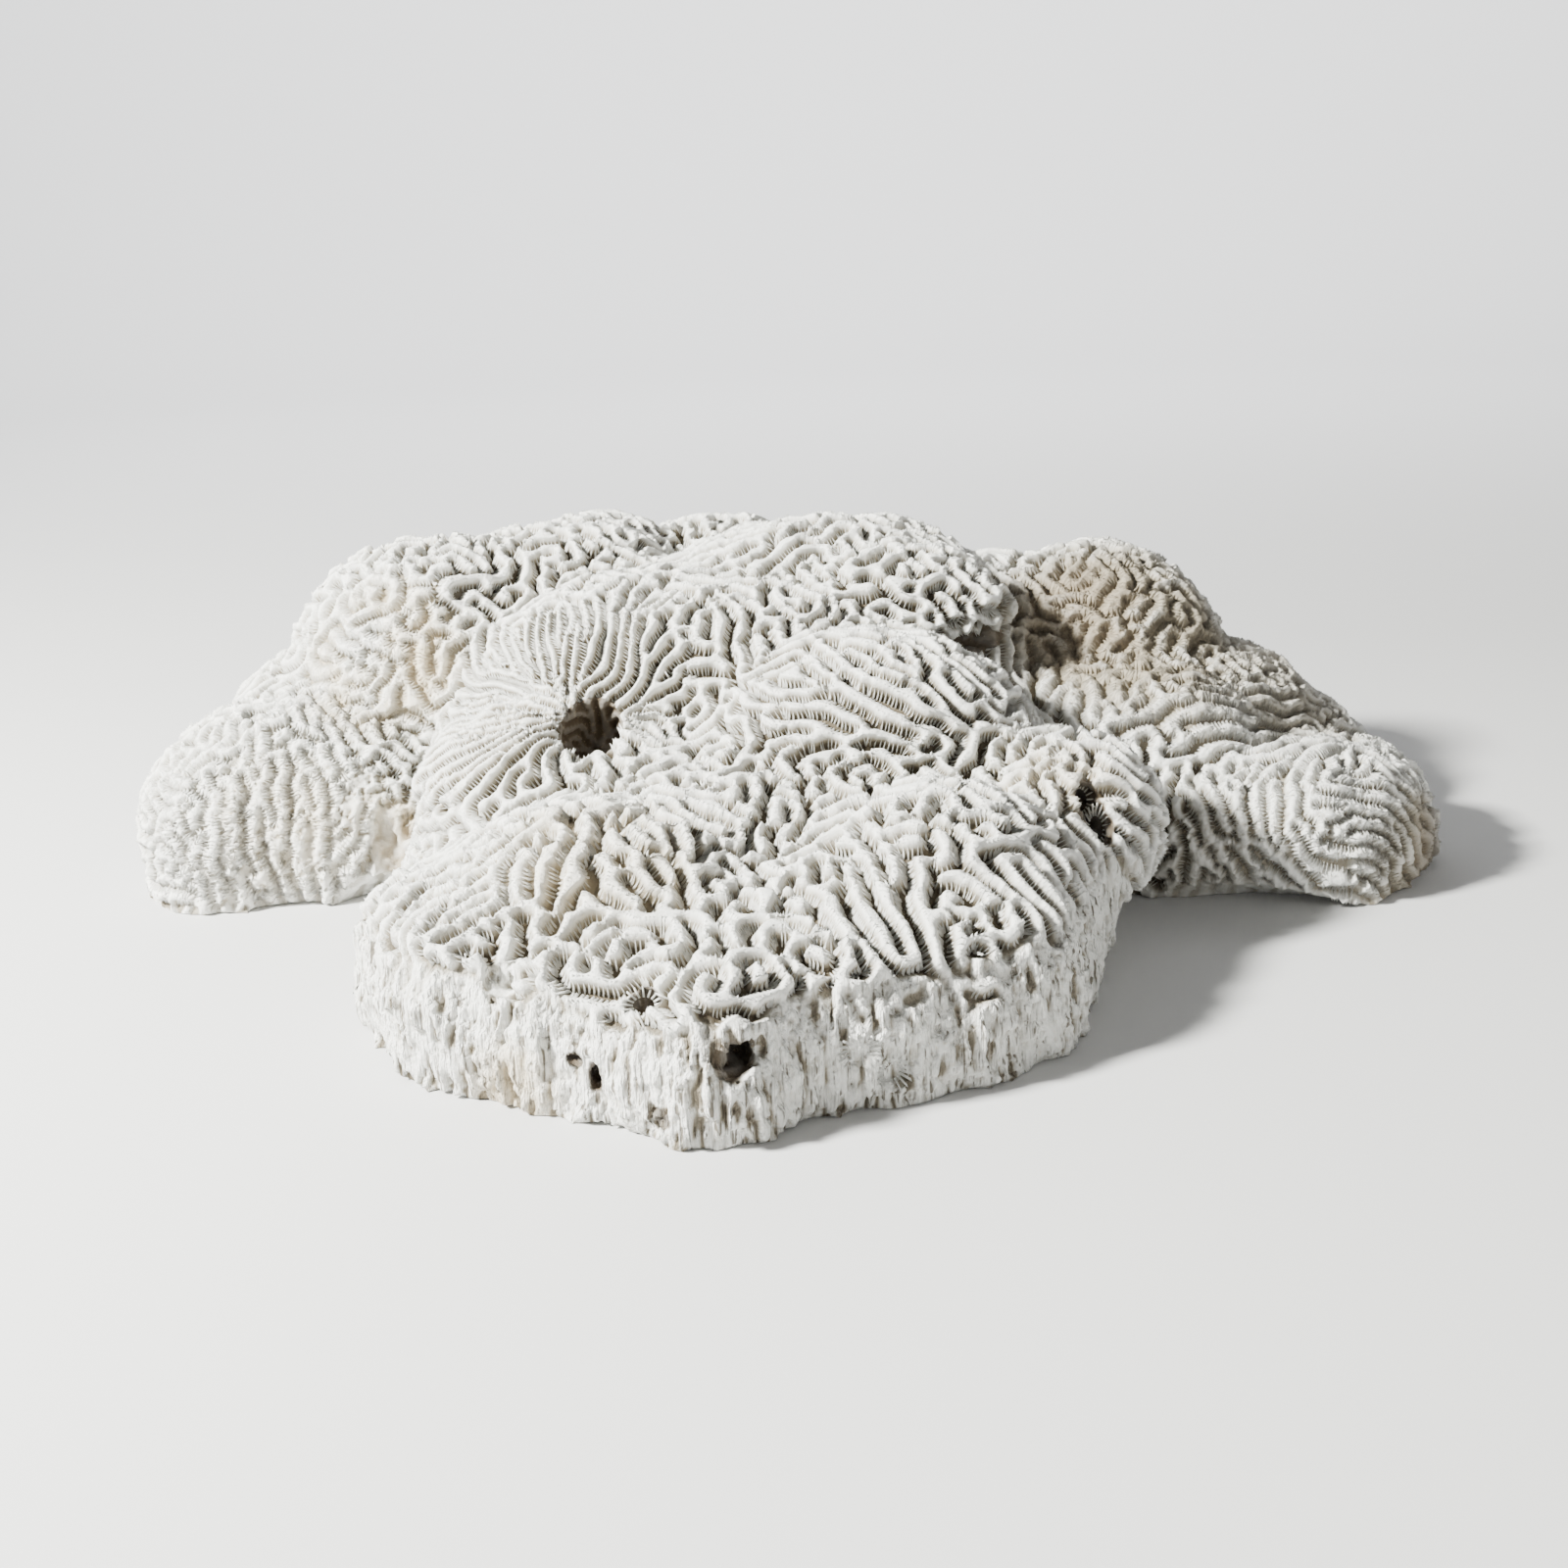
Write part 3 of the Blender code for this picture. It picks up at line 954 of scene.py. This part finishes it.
def coral_stone():
    """Bleached coral limestone: white crests, painted shade in the valleys, grooves and hollows,
    cream stains, tan and brown partly stain and partly painted shade, fine grain.
    """
    material = bpy.data.materials.new("coral_stone")
    tree, shader = nodes_of(material)
    place = tree.nodes.new("ShaderNodeTexCoord").outputs["Object"]
    valley = attribute(tree, "valley")
    patches = noise_node(tree, place, PATCH_SIZE)
    # Painted shade: first the walls, then the valley bottoms darken with the valley's depth
    base = mixed(tree, stretched(tree, valley, *WALL_COLOURED), CREST_WHITE, WALL_SHADE_AND_SAWN_TONE)
    base = mixed(tree, stretched(tree, valley, *BOTTOM_COLOURED), base, VALLEY_SHADE_STAIN_AND_PORES)
    cream = combined(tree, "MULTIPLY", attribute(tree, "cream"), stretched(tree, patches, 0.35, 0.6))
    base = mixed(tree, cream, base, OLD_CREAM)
    # Tan stain and painted shade
    base = mixed(tree, attribute(tree, "tan"), base, TAN_STAIN_AND_SHADE)
    uneven = stretched(tree, patches, 0.2, 0.6, 0.5, 1.0)
    # Brown dirt and painted shade, in patches
    base = mixed(tree, combined(tree, "MULTIPLY", attribute(tree, "dirt_and_shade"), uneven), base, BROWN_DIRT_AND_SHADE)
    # Painted shade inside the hollows
    base = mixed(tree, attribute(tree, "hole"), base, HOLLOW_SHADE_BROWN)
    specks = noise_node(tree, place, GRAIN_SIZE, 2.0)
    base = mixed(tree, stretched(tree, specks, 0.62, 0.75, 0.0, 0.35), base, OLD_CREAM)
    rim = attribute(tree, "rim")
    fibres = noise_node(tree, drawn_out(tree, place, (1.0, 1.0, 0.09)), STRAND_SIZE, 2.0)
    # Painted shade in the grooves between the rim's fibres
    fibre_shade = combined(tree, "MULTIPLY", rim, stretched(tree, fibres, 0.34, 0.46, 0.9, 0.0))
    base = mixed(tree, fibre_shade, base, VALLEY_SHADE_STAIN_AND_PORES)
    tree.links.new(base, shader.inputs["Base Color"])
    shader.inputs["Roughness"].default_value = 0.93
    shader.inputs["Specular IOR Level"].default_value = 0.25
    relief = combined(tree, "MULTIPLY", combined(tree, "MULTIPLY", rim, fibres), 4.0)
    relief = combined(tree, "ADD", relief, noise_node(tree, place, GRAIN_SIZE, 5.0, 0.75))
    bumped(tree, shader, relief, 1.0, GRAIN_BUMP_METRES)
    return material


def sawn_stone():
    """The sawn underside: the same stone, cut through, with fine saw lines and pores."""
    material = bpy.data.materials.new("coral_sawn")
    tree, shader = nodes_of(material)
    place = tree.nodes.new("ShaderNodeTexCoord").outputs["Object"]
    pores = stretched(tree, noise_node(tree, place, 4.0), 0.35, 0.7)
    tree.links.new(mixed(tree, pores, WALL_SHADE_AND_SAWN_TONE, VALLEY_SHADE_STAIN_AND_PORES), shader.inputs["Base Color"])
    shader.inputs["Roughness"].default_value = 0.9
    lines = tree.nodes.new("ShaderNodeTexWave")
    lines.inputs["Scale"].default_value = 120.0
    lines.inputs["Distortion"].default_value = 1.5
    tree.links.new(place, lines.inputs["Vector"])
    bumped(tree, shader, lines.outputs["Fac"], 0.5, SAW_BUMP_METRES)
    return material


def add_base(points, quads):
    """The flat sawn underside, closed along the skin's lower edge."""
    found, counts = np.unique(np.sort(sides_of(quads), axis=1), axis=0, return_counts=True)
    used, edges = compacted(found[counts == 1], len(points))
    flat = [Vector(point) for point in points[used, :2]]
    corners, _edges, faces = delaunay_2d_cdt(flat, edges.tolist(), [], INSIDE_WITH_HOLES, 1e-5)[:3]
    mesh = bpy.data.meshes.new("sawn_base")
    mesh.from_pydata(
        [(x * MM, y * MM, 0.0) for x, y in corners], [], [face[::-1] for face in faces]
    )
    coral_piece("sawn_base", mesh, sawn_stone())


def skin_values(points, surface, relief):
    """What the stone's colours and the painted shade in its valleys, grooves and hollows depend on
    at each point of the skin.
    """
    height = relief["height"]
    rim = relief["rim"]
    # Painted shade in the valleys: deeper in some places, paler where the ridges are worn or shallow
    # and on the rim
    valley = (1.0 - height) * (1.0 - PALER_WORN * relief["worn"])
    valley = valley * (1.0 - PALER_SHALLOW * near(points, SHALLOW))
    valley = valley * (1.0 - PALER_RIM * rim) * (1.0 + near(points, DEEPER_VALLEY_SHADE))
    bare_crests = 0.5 * height * ramp(noise_at(points, 14.0, shift=23.0), -0.2, 0.3)
    return {
        # Painted shade in the grooves and pits as well
        "valley": np.maximum(valley, 0.75 * relief["grooves"]),
        "rim": rim,
        "cream": near(surface, CREAM),
        # Tan stain and painted shade, left off some crests
        "tan": near(surface, TAN_AND_SHADE_PLACES) * (1.0 - bare_crests),
        # Brown dirt and painted shade
        "dirt_and_shade": near(surface, DIRT_AND_SHADE),
        # Painted shade inside the hollows
        "hole": 0.85 * in_hollows(points, 0.4, LIGHT_HOLLOWS),
    }


def blade_values(septa_count, teeth_count, middles):
    """The same for each corner of the septa and of the teeth, whose middles are given."""
    count = (septa_count + teeth_count) * BLADE_CORNERS
    one_septum = np.repeat(BLADE_VALLEY, BLADE_CORNERS // len(BLADE_ENDS))
    septa_valley = np.tile(one_septum, septa_count)
    return {
        "valley": np.concatenate([septa_valley, np.zeros(teeth_count * BLADE_CORNERS)]),
        "rim": np.zeros(count),
        "hole": np.zeros(count),
        "cream": np.repeat(near(middles, CREAM), BLADE_CORNERS),
        "tan": np.repeat(near(middles, TAN_AND_SHADE_PLACES), BLADE_CORNERS),
        "dirt_and_shade": np.repeat(near(middles, DIRT_AND_SHADE), BLADE_CORNERS),
    }


def add_coral():
    """The skin with its ridges, the sawn base, and the septa and teeth."""
    form = smooth_form()
    points, quads, on_base = skin_of(form, FINE_CELL)
    triangles = triangles_of(quads)
    normals = point_normals(points, triangles)
    layout = ridge_layout(form, points, normals, quads)
    bpy.data.objects.remove(form)
    spread = Spread(points, quads)
    normals = unit(spread.blur(normals, NORMAL_STEPS))
    surface, relief = raised(points, normals, quads, layout, spread)
    surface[on_base, 2] = 0.0
    surface[:, 2] = np.maximum(surface[:, 2], 0.0)
    stone = coral_stone()
    first_corner = surface[triangles[:, 0], 0]
    limits = np.quantile(first_corner, [0.25, 0.5, 0.75])
    add_bands(
        "skin_", surface, triangles, point_normals(surface, triangles),
        skin_values(points, surface, relief), stone, limits, first_corner,
    )
    add_base(surface, quads)
    septa, septa_middles = septa_blades(points, normals, triangles, relief)
    teeth = hollow_teeth()
    blades = np.concatenate([septa, teeth])
    first_corner = blades[::BLADE_CORNERS]
    middles = np.concatenate([septa_middles, teeth[::BLADE_CORNERS]])
    add_bands(
        "septa_", blades, blade_triangles(len(first_corner)), None,
        blade_values(len(septa_middles), len(teeth) // BLADE_CORNERS, middles), stone, limits,
        np.repeat(first_corner[:, 0], len(BLADE_FACES)),
    )


def add_floor():
    """A pale round floor that curves up all round into a backdrop, in metres."""
    turns = np.linspace(0.0, 0.5 * math.pi, FLOOR_STEPS)
    profile = [
        (FLOOR_FLAT + FLOOR_CURVE * math.sin(turn), FLOOR_CURVE * (1.0 - math.cos(turn)))
        for turn in turns
    ]
    profile.append((FLOOR_FLAT + FLOOR_CURVE, FLOOR_WALL))
    verts = [(0.0, 0.0, -FLOOR_GAP)]
    faces = []
    for ring, (reach, height) in enumerate(profile):
        for side in range(FLOOR_SIDES):
            turn = 2.0 * math.pi * side / FLOOR_SIDES
            verts.append((reach * math.cos(turn), reach * math.sin(turn), height - FLOOR_GAP))
            outer = 1 + ring * FLOOR_SIDES + side
            outer_next = 1 + ring * FLOOR_SIDES + (side + 1) % FLOOR_SIDES
            if ring == 0:
                faces.append((0, outer, outer_next))
            else:
                faces.append((outer - FLOOR_SIDES, outer, outer_next, outer_next - FLOOR_SIDES))
    mesh = bpy.data.meshes.new("floor")
    mesh.from_pydata(verts, [], faces)
    mesh.shade_smooth()
    material = bpy.data.materials.new("floor")
    _tree, shader = nodes_of(material)
    shader.inputs["Base Color"].default_value = FLOOR_GREY
    shader.inputs["Roughness"].default_value = 0.9
    mesh.materials.append(material)
    new_object("floor", mesh)


def add_lights():
    """Soft lamps, each turned to what it looks at, and the air's faint light."""
    for name, place, size, power, colour, target in LIGHTS:
        lamp = bpy.data.lights.new(name, "AREA")
        lamp.size = size
        lamp.energy = power
        lamp.color = colour
        item = new_object(name, lamp)
        item.location = place
        item.rotation_mode = "QUATERNION"
        item.rotation_quaternion = (Vector(target) - Vector(place)).to_track_quat("-Z", "Y")
    world = bpy.data.worlds.new("studio")
    bpy.context.scene.world = world
    world.use_nodes = True
    background = world.node_tree.nodes["Background"]
    background.inputs["Color"].default_value = AIR_COLOUR
    background.inputs["Strength"].default_value = AIR_STRENGTH


def add_camera():
    ahead = Vector((0.0, math.cos(CAMERA_DOWN), -math.sin(CAMERA_DOWN)))
    level = Vector((1.0, 0.0, 0.0))
    above = level.cross(ahead)
    aside = level * math.cos(CAMERA_LEAN) + above * math.sin(CAMERA_LEAN)
    above = above * math.cos(CAMERA_LEAN) - level * math.sin(CAMERA_LEAN)
    camera = bpy.data.cameras.new("camera")
    camera.sensor_width = CAMERA_SENSOR
    camera.lens = CAMERA_LENS
    item = new_object("camera", camera)
    turn = Matrix((aside, above, -ahead)).transposed().to_4x4()
    item.matrix_world = Matrix.Translation(CAMERA_PLACE) @ turn
    bpy.context.scene.camera = item


add_coral()
add_floor()
add_lights()
add_camera()
